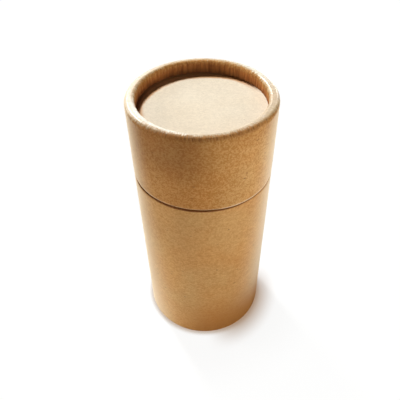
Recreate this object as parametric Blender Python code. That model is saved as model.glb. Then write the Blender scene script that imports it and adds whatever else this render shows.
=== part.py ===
"""A push-up paper tube: a wrapped cap over a lined neck, and a plunger pushed up from below.

Lengths are in metres and +Z is up. The origin is the centre of the ring that the base stands on.
Cap and base are cut from the same wound stock: a board core in a kraft paper wrap, with one end
rolled inwards and tucked back along its own bore. The roll of the cap holds the disc that closes
it. The roll of the base is the ledge that the neck and the plunger stand on, and the finger
reaches the plunger through it.
"""

import math

import bmesh
import bpy

MM = 0.001

# Overall sizes
TUBE_RADIUS = 25.0 * MM
BASE_HEIGHT = 77.0 * MM
CAP_HEIGHT = 28.7 * MM

# Sheet and board thicknesses
WRAP = 0.25 * MM
OUTER_BOARD = 1.2 * MM
NECK_BOARD = 1.0 * MM
GREASEPROOF = 0.15 * MM
CAP_DISC_BOARD = 1.8 * MM
PLUNGER_BOARD = 1.0 * MM
PLUNGER_DISC_BOARD = 1.5 * MM

# The roll: how far it is tucked in, the hollow in its fold, and how much of its width is pressed
# flat at the cap's crest and at the foot
TUCK_DEPTH = 4.5 * MM
FOLD_GAP = 0.5 * MM
CREST_FLAT = 0.2
FOOT_FLAT = 0.45

# Neck and plunger
NECK_TO_CAP_DISC = 1.0 * MM
PLUNGER_SKIRT = 9.0 * MM
PUSH_FACE_RECESS = 0.5 * MM

# Clearances
GLUE = 0.05 * MM
SLIDING_FIT = 0.15 * MM
SEAT_GAP = 0.3 * MM

# Facets: a whole turn, a quarter round that shows, and one that is covered
TURN_STEPS = 68
SHOWN_CORNER_STEPS = 4
COVERED_CORNER_STEPS = 2

# Colours as red, green and blue, with roughness
KRAFT = ("kraft_paper", (0.47, 0.27, 0.12), 0.85)
BOARD = ("wound_board", (0.33, 0.22, 0.13), 0.95)
PARCHMENT = ("greaseproof_parchment", (0.76, 0.68, 0.54), 0.45)

# Worked out from the sizes above
WALL = WRAP + GLUE + OUTER_BOARD
BORE_RADIUS = TUBE_RADIUS - WALL
ROLL_WIDTH = 2 * WALL + FOLD_GAP
ROLL_HOLE_RADIUS = TUBE_RADIUS - ROLL_WIDTH
CREST_CORNER = ROLL_WIDTH * (1 - CREST_FLAT) / 2
FOOT_CORNER = ROLL_WIDTH * (1 - FOOT_FLAT) / 2
PLEAT_DEPTH = WRAP / 2
CUT_EASE = WRAP / 3

CAP_FOOT = BASE_HEIGHT + SEAT_GAP
TUBE_TOP = CAP_FOOT + CAP_HEIGHT
CAP_DISC_TOP = TUBE_TOP - TUCK_DEPTH - GLUE
CAP_BOARD_FOOT = CAP_DISC_TOP - WRAP - GLUE - CAP_DISC_BOARD
CAP_DISC_FOOT = CAP_BOARD_FOOT - GLUE - GREASEPROOF
CAP_DISC_RADIUS = BORE_RADIUS - GLUE

LEDGE = TUCK_DEPTH + SEAT_GAP
NECK_RADIUS = BORE_RADIUS - SLIDING_FIT
NECK_BORE = NECK_RADIUS - NECK_BOARD
NECK_TOP = CAP_DISC_FOOT - NECK_TO_CAP_DISC
LIP_ROUND = 0.3 * NECK_BOARD
LINING_RADIUS = NECK_BORE - GLUE
LINING_BORE = LINING_RADIUS - GREASEPROOF
LINING_TOP = NECK_TOP - LIP_ROUND

PLUNGER_RADIUS = LINING_BORE - SLIDING_FIT
PLUNGER_BORE = PLUNGER_RADIUS - PLUNGER_BOARD
PUSH_DISC_RADIUS = PLUNGER_BORE - GLUE
PUSH_FACE = LEDGE + PUSH_FACE_RECESS
PUSH_BOARD_FOOT = PUSH_FACE + WRAP + GLUE
TOP_BOARD_FOOT = LEDGE + PLUNGER_SKIRT + GLUE
FACING_FOOT = TOP_BOARD_FOOT + PLUNGER_DISC_BOARD + GLUE
PLUNGER_TRAVEL = LINING_TOP - FACING_FOOT - GREASEPROOF


def arc(centre, radius, start, end, steps):
    """Points round part of a circle, both ends included; angles in degrees."""
    points = []
    for step in range(steps + 1):
        angle = math.radians(start + (end - start) * step / steps)
        points.append((centre[0] + radius * math.cos(angle), centre[1] + radius * math.sin(angle)))
    return points


def rolled_skin(corner, skin, steps):
    """The roll at one depth under its paper face, from the outer wall round to the tucked end.

    Each point is a radius and a height above the crest, which faces down.
    """
    outer_centre = (TUBE_RADIUS - corner, corner)
    inner_centre = (ROLL_HOLE_RADIUS + corner, corner)
    path = arc(outer_centre, corner - skin, 0, -90, steps)
    path += arc(inner_centre, corner - skin, -90, -180, steps)
    return path + [(ROLL_HOLE_RADIUS + skin, TUCK_DEPTH)]


def rolled_wrap_outline(length, corner):
    """The kraft wrap: a cut end with its edge eased, the roll, and back along the glued side."""
    cut_end = [(TUBE_RADIUS - CUT_EASE, length), (TUBE_RADIUS, length - CUT_EASE)]
    shown = rolled_skin(corner, 0.0, SHOWN_CORNER_STEPS)
    glued = rolled_skin(corner, WRAP, COVERED_CORNER_STEPS)
    return cut_end + shown + glued[::-1] + [(TUBE_RADIUS - WRAP, length)]


def rolled_core_outline(length, corner):
    """The board inside the wrap, folded back on itself with a narrow hollow in the fold."""
    outside = rolled_skin(corner, WRAP + GLUE, COVERED_CORNER_STEPS)
    fold = FOLD_GAP / 2
    fold_centre = (BORE_RADIUS - fold, WALL + fold)
    inside = [(BORE_RADIUS - FOLD_GAP, TUCK_DEPTH)]
    inside += arc(fold_centre, fold, -180, 0, 2)
    return [(TUBE_RADIUS - WRAP - GLUE, length)] + outside + inside + [(BORE_RADIUS, length)]


def tube_outline(outer, inner, height):
    return [(outer, 0.0), (outer, height), (inner, height), (inner, 0.0)]


def neck_outline():
    """The neck's wall, with a rounded lip for the cap to slide over."""
    height = NECK_TOP - LEDGE
    outer_centre = (NECK_RADIUS - LIP_ROUND, height - LIP_ROUND)
    inner_centre = (NECK_BORE + LIP_ROUND, height - LIP_ROUND)
    lip = arc(outer_centre, LIP_ROUND, 0, 90, 2) + arc(inner_centre, LIP_ROUND, 90, 180, 2)
    return [(NECK_RADIUS, 0.0)] + lip + [(NECK_BORE, 0.0)]


def disc_outline(radius, thickness):
    return [(0.0, 0.0), (radius, 0.0), (radius, thickness), (0.0, thickness)]


def turned(outline):
    """A bmesh of the outline turned once round the Z axis. An outline that starts on the axis
    is left open there, because the turn closes it."""
    mesh = bmesh.new()
    points = [mesh.verts.new((radius, 0.0, height)) for radius, height in outline]
    ends = points[1:] if outline[0][0] == 0 else points[1:] + points[:1]
    edges = [mesh.edges.new(pair) for pair in zip(points, ends)]
    bmesh.ops.spin(
        mesh, geom=points + edges, cent=(0, 0, 0), axis=(0, 0, 1),
        angle=math.tau, steps=TURN_STEPS, use_duplicate=False,
    )
    bmesh.ops.remove_doubles(mesh, verts=mesh.verts, dist=0.001 * MM)
    bmesh.ops.recalc_face_normals(mesh, faces=mesh.faces)
    return mesh


def pleat(mesh, corner):
    """Gathers the tucked paper, which has to fit a smaller circle than it was cut for.

    Every chord of the tucked face gets a middle point that is pushed into the sheet, which leaves
    a ridge at each end of the chord. The pleats start on the inner corner and deepen to the tuck.
    """
    near = 0.01 * MM
    spine = ROLL_HOLE_RADIUS + corner

    def on_tucked_face(point):
        radius = point.xy.length
        reach = math.hypot(radius - spine, min(point.z - corner, 0.0))
        return radius < spine and point.z > corner / 4 and abs(reach - corner) < near

    def level(edge):
        return abs(edge.verts[0].co.z - edge.verts[1].co.z) < near

    chords = [
        edge for edge in mesh.edges
        if level(edge) and all(on_tucked_face(end.co) for end in edge.verts)
    ]
    cut = bmesh.ops.subdivide_edges(mesh, edges=chords, cuts=1)
    for middle in cut["geom_inner"]:
        if isinstance(middle, bmesh.types.BMVert):
            depth = PLEAT_DEPTH * min(middle.co.z / corner, 1.0)
            middle.co.xy += depth * middle.co.xy.normalized()


def rolled_wrap(length, corner):
    mesh = turned(rolled_wrap_outline(length, corner))
    pleat(mesh, corner)
    return mesh


def material(finish):
    """The material of this name, made the first time that it is asked for."""
    name, colour, roughness = finish
    made = bpy.data.materials.get(name)
    if made is None:
        made = bpy.data.materials.new(name)
        made.use_nodes = True
        made.diffuse_color = (*colour, 1.0)
        shader = made.node_tree.nodes["Principled BSDF"]
        shader.inputs["Base Color"].default_value = (*colour, 1.0)
        shader.inputs["Roughness"].default_value = roughness
        shader.inputs["Metallic"].default_value = 0.0
    return made


def group_at(name, height):
    """An empty on the tube's axis that carries the pieces which move together."""
    group = bpy.data.objects.new(name, None)
    group.empty_display_size = TUBE_RADIUS
    group.location = (0.0, 0.0, height)
    bpy.context.scene.collection.objects.link(group)
    return group


def place(name, mesh, finish, group, height):
    """Makes an object of the mesh in a group, with the mesh's zero at this height."""
    data = bpy.data.meshes.new(name)
    mesh.to_mesh(data)
    mesh.free()
    data.shade_smooth()
    data.set_sharp_from_angle(angle=math.radians(35))
    data.materials.append(material(finish))
    piece = bpy.data.objects.new(name, data)
    piece.parent = group
    piece.location = (0.0, 0.0, height - group.location.z)
    bpy.context.scene.collection.objects.link(piece)
    return piece


def make_base():
    """The outer tube with its rolled foot, and the lined neck that is glued inside it."""
    base = group_at("base", 0.0)
    place("base_wrap", rolled_wrap(BASE_HEIGHT, FOOT_CORNER), KRAFT, base, 0.0)
    core = turned(rolled_core_outline(BASE_HEIGHT, FOOT_CORNER))
    place("base_core", core, BOARD, base, 0.0)

    lining = tube_outline(LINING_RADIUS, LINING_BORE, LINING_TOP - LEDGE)
    place("neck_tube", turned(neck_outline()), KRAFT, base, LEDGE)
    place("neck_lining", turned(lining), PARCHMENT, base, LEDGE)


def make_cap():
    """A short length of the same tube turned over, closed by a faced board disc."""
    cap = group_at("cap", CAP_FOOT)
    core = turned(rolled_core_outline(CAP_HEIGHT, CREST_CORNER))
    shell = [
        place("cap_wrap", rolled_wrap(CAP_HEIGHT, CREST_CORNER), KRAFT, cap, TUBE_TOP),
        place("cap_core", core, BOARD, cap, TUBE_TOP),
    ]
    for piece in shell:
        piece.rotation_euler.x = math.pi

    facing = turned(disc_outline(CAP_DISC_RADIUS, WRAP))
    board = turned(disc_outline(CAP_DISC_RADIUS, CAP_DISC_BOARD))
    lining = turned(disc_outline(CAP_DISC_RADIUS, GREASEPROOF))
    place("cap_disc_facing", facing, KRAFT, cap, CAP_DISC_TOP - WRAP)
    place("cap_disc", board, BOARD, cap, CAP_BOARD_FOOT)
    place("cap_disc_lining", lining, PARCHMENT, cap, CAP_DISC_FOOT)


def make_plunger():
    """A short sleeve that slides in the lined neck. The disc at its foot takes the finger, and
    the disc across its top carries what the tube holds."""
    plunger = group_at("plunger", LEDGE)
    sleeve = turned(tube_outline(PLUNGER_RADIUS, PLUNGER_BORE, PLUNGER_SKIRT))
    push_facing = turned(disc_outline(PUSH_DISC_RADIUS, WRAP))
    push_disc = turned(disc_outline(PUSH_DISC_RADIUS, PLUNGER_DISC_BOARD))
    top_disc = turned(disc_outline(PLUNGER_RADIUS, PLUNGER_DISC_BOARD))
    top_facing = turned(disc_outline(PLUNGER_RADIUS, GREASEPROOF))
    place("plunger_sleeve", sleeve, KRAFT, plunger, LEDGE)
    place("push_disc_facing", push_facing, KRAFT, plunger, PUSH_FACE)
    place("push_disc", push_disc, BOARD, plunger, PUSH_BOARD_FOOT)
    place("plunger_disc", top_disc, BOARD, plunger, TOP_BOARD_FOOT)
    place("plunger_disc_facing", top_facing, PARCHMENT, plunger, FACING_FOOT)


def main():
    for old in list(bpy.data.objects):
        bpy.data.objects.remove(old)
    make_base()
    make_cap()
    make_plunger()
    print("total height in mm", round(TUBE_TOP / MM, 2))
    print("neck above the shoulder in mm", round((NECK_TOP - BASE_HEIGHT) / MM, 2))
    print("plunger travel in mm", round(PLUNGER_TRAVEL / MM, 2))


main()
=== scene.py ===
"""A push-up paper tube in kraft paper, standing closed on a white studio floor.

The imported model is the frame. Sizes are read from it or set beside it, in metres, and the
finishes count in millimetres. Each paper or board piece starts as a circle that is walked along
its section in edit mode and closed. Pleats, laps, creases and uneven cut ends are then pressed
in with weighted Displace modifiers.
"""

import math
import random
from collections import namedtuple

import bpy
from mathutils import Matrix, Vector, noise


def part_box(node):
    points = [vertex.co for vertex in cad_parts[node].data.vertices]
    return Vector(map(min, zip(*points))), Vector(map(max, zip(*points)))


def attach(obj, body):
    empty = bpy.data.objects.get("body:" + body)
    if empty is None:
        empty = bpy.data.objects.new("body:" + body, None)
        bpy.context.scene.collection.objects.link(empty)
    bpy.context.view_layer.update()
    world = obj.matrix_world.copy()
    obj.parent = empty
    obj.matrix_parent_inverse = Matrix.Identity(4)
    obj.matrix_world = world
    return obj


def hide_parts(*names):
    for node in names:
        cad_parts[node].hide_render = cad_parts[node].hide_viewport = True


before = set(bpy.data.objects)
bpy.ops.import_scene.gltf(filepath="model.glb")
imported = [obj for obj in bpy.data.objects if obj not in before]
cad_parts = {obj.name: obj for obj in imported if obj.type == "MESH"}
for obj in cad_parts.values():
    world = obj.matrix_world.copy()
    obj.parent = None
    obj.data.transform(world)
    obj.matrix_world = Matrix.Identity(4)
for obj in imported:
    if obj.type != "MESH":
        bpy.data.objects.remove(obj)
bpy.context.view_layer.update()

MM = 0.001


def span(node):
    """A node's outer radius, its foot and its top."""
    low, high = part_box(node)
    return high.x, low.z, high.z


def hole(node):
    """The radius of the hole through a node."""
    return min(vertex.co.xy.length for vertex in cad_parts[node].data.vertices)


# Sizes read from the frame
TUBE_RADIUS, FLOOR, SHOULDER = span("base_wrap")
_, CAP_FOOT, CREST = span("cap_wrap")
BOARD_RADIUS, _, _ = span("base_core")
ROLL_HOLE = hole("base_wrap")
NECK_RADIUS, _, _ = span("neck_tube")
SLEEVE_RADIUS, _, _ = span("plunger_sleeve")

# Sheet and board details that the frame leaves plain
PAPER = 0.25 * MM
GLUE = 0.05 * MM
BOARD = 1.2 * MM
FOLD_GAP = 0.5 * MM
TUCK = 4.5 * MM
BORE = BOARD_RADIUS - BOARD
PLY = 0.3 * MM
FINE_PLY = 0.25 * MM
PLY_GROOVE = 0.04 * MM
CUT_ROUND = 0.12 * MM
LIP = 0.3 * MM

# How far a wrap's cut end leans in, at each distance back from the cut, in millimetres
CUT_LEAN = ((0.16, 0.0), (0.13, 0.07), (0.09, 0.2), (0.04, 0.4), (0.01, 0.65))

# A rolled edge in section: a tight turn off the flat face, a lean in degrees, an easy turn into
# the wall, the straight between the two, and the turn into the hole
Roll = namedtuple("Roll", "tight lean straight easy inner")
CREST_ROLL = Roll(0.9 * MM, 52.0, 0.4 * MM, 1.6 * MM, 1.2 * MM)
FOOT_ROLL = Roll(0.96 * MM, 45.0, 0.0, 0.96 * MM, 0.96 * MM)

# Columns round a piece whose pleats show, and round one that is plain
FINE = 900
PLAIN = 288

# Where round the tube each paper wrap laps over itself, in degrees from +X, and how wide the lap
# is and how far it stands up
BASE_LAP = 128.0
CAP_LAP = 141.0
LAP_WIDTH = 4.0 * MM
LAP_STEP = 0.12 * MM

# The side where the seam is widest, and how much shorter the two cut ends are there
SEAM_SIDE = -124
CAP_SHORT = 0.60 * MM
BASE_SHORT = 0.15 * MM


# Sections

def bend(centre, radius, start, end, steps):
    """Stations round part of a circle, angles in degrees from straight out of the face."""
    stations = []
    for step in range(steps + 1):
        angle = math.radians(start + (end - start) * step / steps)
        radial = centre[0] + radius * math.sin(angle)
        stations.append((radial, centre[1] - radius * math.cos(angle)))
    return stations


def between(start, end, steps):
    """Stations strictly between two others, evenly spaced."""
    out, up = end[0] - start[0], end[1] - start[1]
    shares = [step / steps for step in range(1, steps)]
    return [(start[0] + out * share, start[1] + up * share) for share in shares]


def rolled_face(roll, skin, steps):
    """The rolled edge at one depth under its paper face, from the wall to the tucked end.

    Each station is a radius and a depth behind the face of the roll.
    """
    lean = math.radians(roll.lean)
    easy_depth = roll.tight * (1 - math.cos(lean)) + roll.straight * math.sin(lean)
    easy_depth += roll.easy * math.cos(lean)
    tight_radius = TUBE_RADIUS - roll.easy * (1 - math.sin(lean))
    tight_radius -= roll.tight * math.sin(lean) + roll.straight * math.cos(lean)
    wall_turn = (TUBE_RADIUS - roll.easy, easy_depth)
    face_turn = (tight_radius, roll.tight)
    hole_turn = (ROLL_HOLE + roll.inner, roll.inner)
    path = bend(wall_turn, roll.easy - skin, 90, roll.lean, steps)
    corner = bend(face_turn, roll.tight - skin, roll.lean, 0, steps)
    if roll.straight:
        path += between(path[-1], corner[0], max(2, steps // 2))
    else:
        corner = corner[1:]
    path += corner
    hole_corner = bend(hole_turn, roll.inner - skin, 0, -90, steps + steps // 2)
    path += between(path[-1], hole_corner[0], max(2, steps // 2)) + hole_corner
    return path


def wall_depths(start, end):
    """Depths along a plain wall, close together near both ends and wide apart between them."""
    steps = [0.5, 0.7, 1.0, 1.4, 2.0, 2.8]
    near, far = [], []
    depth = start
    for step in steps:
        depth += step * MM
        near.append(depth)
    depth = end
    for step in steps:
        depth -= step * MM
        far.append(depth)
    middle = max(2, round((far[-1] - near[-1]) / (4 * MM)))
    inner = [near[-1] + (far[-1] - near[-1]) * s / middle for s in range(1, middle)]
    return near + inner + far[::-1]


def wrap_section(roll, length):
    """A kraft wrap: the eased cut end, the wall, the roll, the tucked end, and the glued side."""
    face = rolled_face(roll, 0.0, 10)
    glued = rolled_face(roll, PAPER, 4)
    section = [(TUBE_RADIUS - lean * MM, length - back * MM) for lean, back in CUT_LEAN]
    section += [(TUBE_RADIUS, d) for d in wall_depths(face[0][1], section[-1][1])[::-1]]
    section += face
    tuck_steps = 12
    section += between(face[-1], (ROLL_HOLE, TUCK - CUT_ROUND), tuck_steps)
    section += [(ROLL_HOLE, TUCK - CUT_ROUND), (ROLL_HOLE + CUT_ROUND, TUCK)]
    section += [(ROLL_HOLE + PAPER, TUCK)]
    section += glued[::-1] + between(glued[0], (TUBE_RADIUS - PAPER, length), 6)
    return section + [(TUBE_RADIUS - PAPER, length)]


def plied_end(outer, inner, depth, ply=PLY, towards=1):
    """A board's cut end, with a fine groove where one ply meets the next."""
    plies = max(1, round(abs(outer - inner) / ply))
    step = (inner - outer) / plies
    stations = []
    for border in range(1, plies):
        middle = outer + step * border
        stations += [(middle - step * 0.14, depth), (middle, depth - towards * PLY_GROOVE)]
        stations += [(middle + step * 0.14, depth)]
    return stations


def rolled_board_section(roll, length):
    """The board inside a wrap, folded back on itself with a narrow hollow in the fold."""
    skin = PAPER + GLUE
    outside = rolled_face(roll, skin, 4) + [(ROLL_HOLE + skin, TUCK)]
    fold = FOLD_GAP / 2
    hollow = [(BORE - FOLD_GAP, TUCK)]
    for angle in (-90, -45, 0, 45, 90):
        turn = math.radians(angle)
        wall = skin + BOARD
        hollow.append((BORE - fold + fold * math.sin(turn), wall + fold - fold * math.cos(turn)))
    bore_top = hollow[-1]
    section = [(BOARD_RADIUS, length)] + between((BOARD_RADIUS, length), outside[0], 4) + outside
    section += hollow + between(bore_top, (BORE, length - CUT_ROUND), 24)
    section += [(BORE, length - CUT_ROUND), (BORE + 0.4 * CUT_ROUND, length)]
    return section + plied_end(BORE, BOARD_RADIUS, length)


# Modelling

def walk(name, section, columns, face=0.0, sign=1, closed=True):
    """A ring walked along its section, station by station, and bridged shut.

    The heights of the section are counted from the face, upwards for sign 1.
    """
    bpy.ops.object.select_all(action="DESELECT")
    radius, height = section[0][0], face + sign * section[0][1]
    bpy.ops.mesh.primitive_circle_add(vertices=columns, radius=radius, location=(0, 0, height))
    piece = bpy.context.object
    piece.name = name
    piece.data.name = name
    bpy.ops.object.mode_set(mode="EDIT")
    bpy.ops.mesh.select_all(action="SELECT")
    for station in section[1:]:
        climb = face + sign * station[1] - height
        bpy.ops.mesh.extrude_edges_move(TRANSFORM_OT_translate={"value": (0, 0, climb)})
        grow = station[0] / radius
        bpy.ops.transform.resize(value=(grow, grow, 1), center_override=(0, 0, 0))
        radius, height = station[0], height + climb
    if closed:
        close_ring(piece, len(section), columns)
    else:
        bpy.ops.mesh.merge(type="CENTER")
        close_middle(piece, columns)
    bpy.ops.mesh.select_all(action="SELECT")
    bpy.ops.mesh.normals_make_consistent(inside=False)
    bpy.ops.object.mode_set(mode="OBJECT")
    bpy.ops.object.transform_apply(location=True, rotation=True, scale=True)
    bpy.ops.object.shade_smooth_by_angle(angle=math.radians(50))
    return piece


def select_loops(piece, loops, columns):
    """Select whole loops of a walked ring by their place in the walk."""
    bpy.ops.mesh.select_all(action="DESELECT")
    bpy.ops.object.mode_set(mode="OBJECT")
    wanted = set()
    for loop in loops:
        wanted.update(range(loop * columns, (loop + 1) * columns))
    for edge in piece.data.edges:
        edge.select = edge.vertices[0] in wanted and edge.vertices[1] in wanted
    bpy.ops.object.mode_set(mode="EDIT")
    bpy.ops.mesh.select_mode(type="EDGE")


def close_ring(piece, stations, columns):
    """Bridge the last loop of a walked ring back to its first."""
    select_loops(piece, (0, stations - 1), columns)
    bpy.ops.mesh.bridge_edge_loops()


def close_middle(piece, columns):
    """Draw the first loop of a walked disc in to its axis and merge it there."""
    select_loops(piece, (0,), columns)
    bpy.ops.mesh.merge(type="CENTER")


def turn_of(point):
    """The angle of a point round the tube, in radians from +X."""
    return math.atan2(point.y, point.x)


def press(piece, depth, weights, direction="NORMAL"):
    """Move each vertex by its own weight of a depth, along its normal or an axis."""
    group = piece.vertex_groups.new(name="press")
    for index, weight in enumerate(weights):
        if weight > 0.0005:
            group.add([index], min(weight, 1.0), "REPLACE")
    modifier = piece.modifiers.new("press", "DISPLACE")
    modifier.vertex_group = group.name
    modifier.mid_level = 0.0
    modifier.direction = direction
    modifier.strength = depth
    bpy.context.view_layer.objects.active = piece
    bpy.ops.object.modifier_apply(modifier=modifier.name)
    piece.vertex_groups.clear()


def keep_values(piece, name, values):
    """Store one number for each vertex, for the materials to read."""
    layer = piece.data.attributes.new(name=name, type="FLOAT", domain="POINT")
    layer.data.foreach_set("value", values)


def ramp(low, high, value):
    """A smooth step from 0 to 1 between two values, in either order."""
    share = min(max((value - low) / (high - low), 0.0), 1.0)
    return share * share * (3 - 2 * share)


def runs(section, middle):
    """The path length along a section in millimetres, counted from one of its stations."""
    lengths = [0.0]
    for start, end in zip(section, section[1:]):
        lengths.append(lengths[-1] + math.dist(start, end) / MM)
    return [length - lengths[middle] for length in lengths]


# Pleats

# How pleats and creases are strewn: their pitch in millimetres, the least and the most of their
# depth as a share, and of where they start in millimetres of paper past the middle of the crest
PLEATS = 1.15, (0.45, 1.0), (-1.2, 0.8)
CREASES = 0.62, (0.3, 1.0), (-5.0, -2.4)

# How deep each goes at most, and the wall's slight waves
PLEAT_DEPTH = 0.15 * MM
CREASE_DEPTH = 0.075 * MM
WAVE_DEPTH = 0.05 * MM

Pleat = namedtuple("Pleat", "turn width depth start slant")


def strew_pleats(seed, pitch, depths, starts):
    """Pleats at uneven places round the roll, each with its own width, depth and start."""
    dice = random.Random(seed)
    around = 2 * math.pi * ROLL_HOLE / MM
    pleats = []
    place = dice.uniform(0, pitch)
    while place < around - 0.4 * pitch:
        width = pitch * dice.uniform(0.55, 1.05)
        depth = dice.uniform(*depths)
        start = dice.uniform(*starts)
        slant = dice.gauss(0, 0.004)
        turn, width = 2 * math.pi * place / around, width / (ROLL_HOLE / MM)
        pleats.append(Pleat(turn, width, depth, start, slant))
        place += pitch * dice.uniform(0.55, 1.5)
    return pleats


def fold_shape(across):
    """A pleat's section: a slow fall, then the quick step of the fold that lies over it."""
    if across <= -1 or across >= 0.4:
        return 0.0
    if across < 0:
        return (1 + across) ** 1.4
    return (1 - across / 0.4) ** 1.2


def pleat_field(pleats, levels, growth, columns):
    """How deep the folds are at each station and column.

    growth says how far a pleat has opened at a path length, from where that pleat starts.
    """
    field = [[0.0] * columns for _ in levels]
    step = 2 * math.pi / columns
    for pleat in pleats:
        for row, run in enumerate(levels):
            share = pleat.depth * growth(run, pleat.start)
            if share <= 0.01:
                continue
            middle = pleat.turn + pleat.slant * run
            first = math.floor((middle - pleat.width) / step)
            last = math.ceil((middle + 0.4 * pleat.width) / step)
            for column in range(first, last + 1):
                depth = share * fold_shape((column * step - middle) / pleat.width)
                place = column % columns
                field[row][place] = max(field[row][place], depth)
    return field


def column_turns(piece, columns):
    """Each column's angle, in order, as the circle laid them out."""
    return [turn_of(piece.data.vertices[column].co) for column in range(columns)]


def flatten(field, turns, columns):
    """A field by evenly spaced angle, read back in the order of the piece's vertices."""
    step = 2 * math.pi / columns
    places = [round(turn / step) % columns for turn in turns]
    return [row[place] for row in field for place in places]


def folds_in(run, start):
    """A deep pleat: it opens from where it starts on the crest, and is full on the tucked wall."""
    return ramp(start, start + 2.6, run) * ramp(9.5, 6.2, run)


def creases_out(run, start):
    """A fine crease: strongest over the outer corner, faint on the crest, fading down the wall."""
    return ramp(start, -1.6, run) * (1 - 0.55 * ramp(-0.9, 1.4, run)) * ramp(4.5, 2.0, run)


def lap_weight(turn, lap):
    """How far the paper stands up where its end laps over its start."""
    past = (turn - math.radians(lap) + math.pi) % (2 * math.pi) - math.pi
    arc = past * TUBE_RADIUS
    if arc < 0:
        return 0.0
    return ramp(LAP_WIDTH + 1.6 * MM, LAP_WIDTH, arc)


def wavy(turn, height, size, seed):
    """Smooth noise from 0 to 1 on the tube's wall, with bumps of about one size."""
    point = Vector((math.cos(turn), math.sin(turn), height / TUBE_RADIUS)) * (TUBE_RADIUS / size)
    return 0.5 + 0.5 * noise.noise(point + Vector((seed, 3 * seed, 7 * seed)))


def trim(piece, face, sign, length, most):
    """Trim a cut end unevenly, so that the seam is widest at the front left of the tube."""
    cut = face + sign * length
    weights = []
    for vertex in piece.data.vertices:
        near_cut = ramp(1.6 * MM, 0.0, abs(vertex.co.z - cut))
        outside = vertex.co.xy.length > BORE - MM
        turn = turn_of(vertex.co)
        near_side = ramp(0.45, 1.0, math.cos(turn - math.radians(SEAM_SIDE)))
        uneven = 0.15 * wavy(turn, 0, 5 * MM, 7) + 0.85 * near_side
        weights.append(near_cut * uneven if outside else 0.0)
    press(piece, -sign * most, weights, "Z")


def make_wrap(name, roll, length, face, sign, lap, seed, shorter):
    """A kraft wrap with its rolled, pleated and tucked end, its lap, and its cut end."""
    section = wrap_section(roll, length)
    piece = walk(name, section, FINE, face, sign)
    flat = [i for i, s in enumerate(section) if s[1] < 0.001 * MM and s[0] > ROLL_HOLE + MM]
    levels = runs(section, flat[len(flat) // 2])
    turns = column_turns(piece, FINE)
    deep = pleat_field(strew_pleats(seed, *PLEATS), levels, folds_in, FINE)
    fine = pleat_field(strew_pleats(seed + 1, *CREASES), levels, creases_out, FINE)
    deep, fine = flatten(deep, turns, FINE), flatten(fine, turns, FINE)
    rows = [(level, face + sign * station[1]) for level, station in zip(levels, section)]
    grid = [(level, height, turn) for level, height in rows for turn in turns]
    keep_values(piece, "run", [level for level, _, _ in grid])
    keep_values(piece, "fold", [min(1.0, d + 0.5 * f) for d, f in zip(deep, fine)])
    waves, laps = [], []
    for level, height, turn in grid:
        shown = ramp(9.0, 6.5, level)
        wall = ramp(-2.0, -4.5, level)
        waves.append(wavy(turn, height, 9 * MM, seed) * shown * wall)
        laps.append(lap_weight(turn, lap) * wall * shown)
    press(piece, -PLEAT_DEPTH, deep)
    press(piece, -CREASE_DEPTH, fine)
    press(piece, -WAVE_DEPTH, waves)
    press(piece, LAP_STEP, laps)
    trim(piece, face, sign, length, shorter)
    return piece


def make_rolled_board(name, roll, length, face, sign, shorter):
    """The folded board inside a wrap, with its bore and its plied cut end."""
    piece = walk(name, rolled_board_section(roll, length), PLAIN, face, sign)
    trim(piece, face, sign, length, shorter)
    return piece


def make_tube(name, node, rounding, steps):
    """A plain wound tube in a node's place, with eased ends whose plies show."""
    outer, foot, top = span(node)
    inner = hole(node)
    height = top - foot
    section = [(outer, rounding)] + between((outer, rounding), (outer, height - rounding), steps)
    section += bend_end(outer, height, rounding, 1)
    section += plied_end(outer - rounding, inner + rounding, height, FINE_PLY)
    section += bend_end(inner, height, rounding, -1)
    section += between((inner, height - rounding), (inner, rounding), steps)
    bottom = bend_end(inner, height, rounding, -1)[::-1]
    bottom += plied_end(inner + rounding, outer - rounding, height, FINE_PLY)
    bottom += bend_end(outer, height, rounding, 1)[::-1][:-1]
    section += [(x, height - z) for x, z in bottom]
    return walk(name, section, PLAIN, foot, 1)


def bend_end(radius, height, rounding, side):
    """The rounded rim of a tube's end; side 1 is its outer rim, walked inwards from the wall."""
    angles = (0, 30, 60, 90) if side == 1 else (90, 60, 30, 0)
    centre = radius - side * rounding
    stations = []
    for angle in angles:
        turn = math.radians(angle)
        drop = rounding * (1 - math.sin(turn))
        stations.append((centre + side * rounding * math.cos(turn), height - drop))
    return stations


def make_disc(name, node, up, rim):
    """A thin sheet in a disc's place, with an eased rim; up says which face it shows."""
    radius, foot, top = span(node)
    thick = top - foot
    middle = 0.4 * MM
    face = [middle, 1.0 * MM, 2.0 * MM]
    while face[-1] < radius - 1.5 * MM:
        face.append(face[-1] + 1.1 * MM)
    shown = [(r, thick) for r in face] + [(radius - rim, thick), (radius, thick - rim)]
    back = [(radius, rim * 0.3), (radius - rim * 0.3, 0.0), (0.5 * radius, 0.0), (middle, 0.0)]
    section = shown + back
    return walk(name, section, PLAIN, foot if up else top, 1 if up else -1, closed=False)


# Node tools

# A group's sockets, and which kind an input is by the value it starts with
VECTOR, NUMBER, COLOUR = "NodeSocketVector", "NodeSocketFloat", "NodeSocketColor"
KINDS = {type(None): VECTOR, float: NUMBER, tuple: COLOUR}


def feed(tree, socket, value):
    """Link a socket to another one, or write a plain value into it."""
    if isinstance(value, bpy.types.NodeSocket):
        tree.links.new(value, socket)
    else:
        socket.default_value = value


def put(tree, kind, inputs, **settings):
    """Add a node with its settings and its inputs, by name or by number."""
    node = tree.nodes.new(kind)
    for setting, value in settings.items():
        setattr(node, setting, value)
    for key, value in inputs.items():
        feed(tree, node.inputs[key], value)
    return node


def reckon(tree, operation, *values, clamp=False):
    """Arithmetic on plain numbers and sockets."""
    inputs = dict(enumerate(values))
    return put(tree, "ShaderNodeMath", inputs, operation=operation, use_clamp=clamp).outputs[0]


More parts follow.
